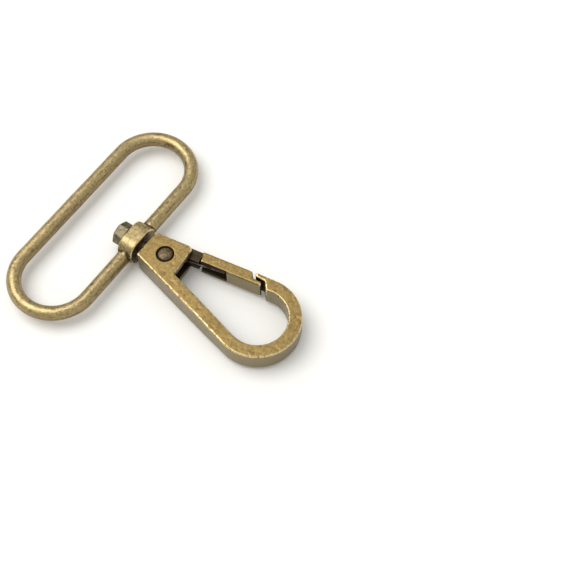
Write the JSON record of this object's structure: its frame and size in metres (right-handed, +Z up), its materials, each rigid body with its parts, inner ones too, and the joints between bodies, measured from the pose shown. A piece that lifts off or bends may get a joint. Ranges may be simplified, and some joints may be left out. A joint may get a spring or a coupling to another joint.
{
  "type": "swivel snap hook",
  "caption": "Swivel push-gate snap hook with an oval strap loop, for clipping a strap or keys to a ring.",
  "frame": {"origin": "bottom centre of the whole, lying flat with the gate and loop at rest", "axes": "+X along the swivel axis towards the hook's tip, +Y towards the gate's side, +Z up through the flat faces"},
  "size_m": [0.0492, 0.0436, 0.0055],
  "materials": {
    "antique_brass_cast": "antique brass plating, worn bright on the edges and dark in the recesses",
    "antique_brass_wire": "antique brass plating, satin",
    "rivet_brass": "darkened brass",
    "stud_brass": "dull grey-green brass plating, turned steel under it",
    "spring_steel": "drawn spring wire, darkened"
  },
  "bodies": {
    "hook": {"hook_body": "antique_brass_cast", "gate_rivet": "rivet_brass", "gate_spring": "spring_steel", "swivel_stud": "stud_brass"},
    "gate": {"gate": "antique_brass_cast"},
    "loop": {"strap_loop": "antique_brass_wire"}
  },
  "joints": [
    {"name": "gate_pivot", "type": "hinge", "parent": "hook", "child": "gate", "pos_m": [-0.00274, 0, 0.00275], "axis": [0, 0, -1], "range_deg": [0, 32], "stiffness_Nm_per_rad": 0.02, "springref_deg": -28.65, "deforming": ["gate_spring"]},
    {"name": "loop_swivel", "type": "hinge", "parent": "hook", "child": "loop", "pos_m": [-0.00921, 0, 0.00275], "axis": [1, 0, 0], "continuous": true}
  ]
}
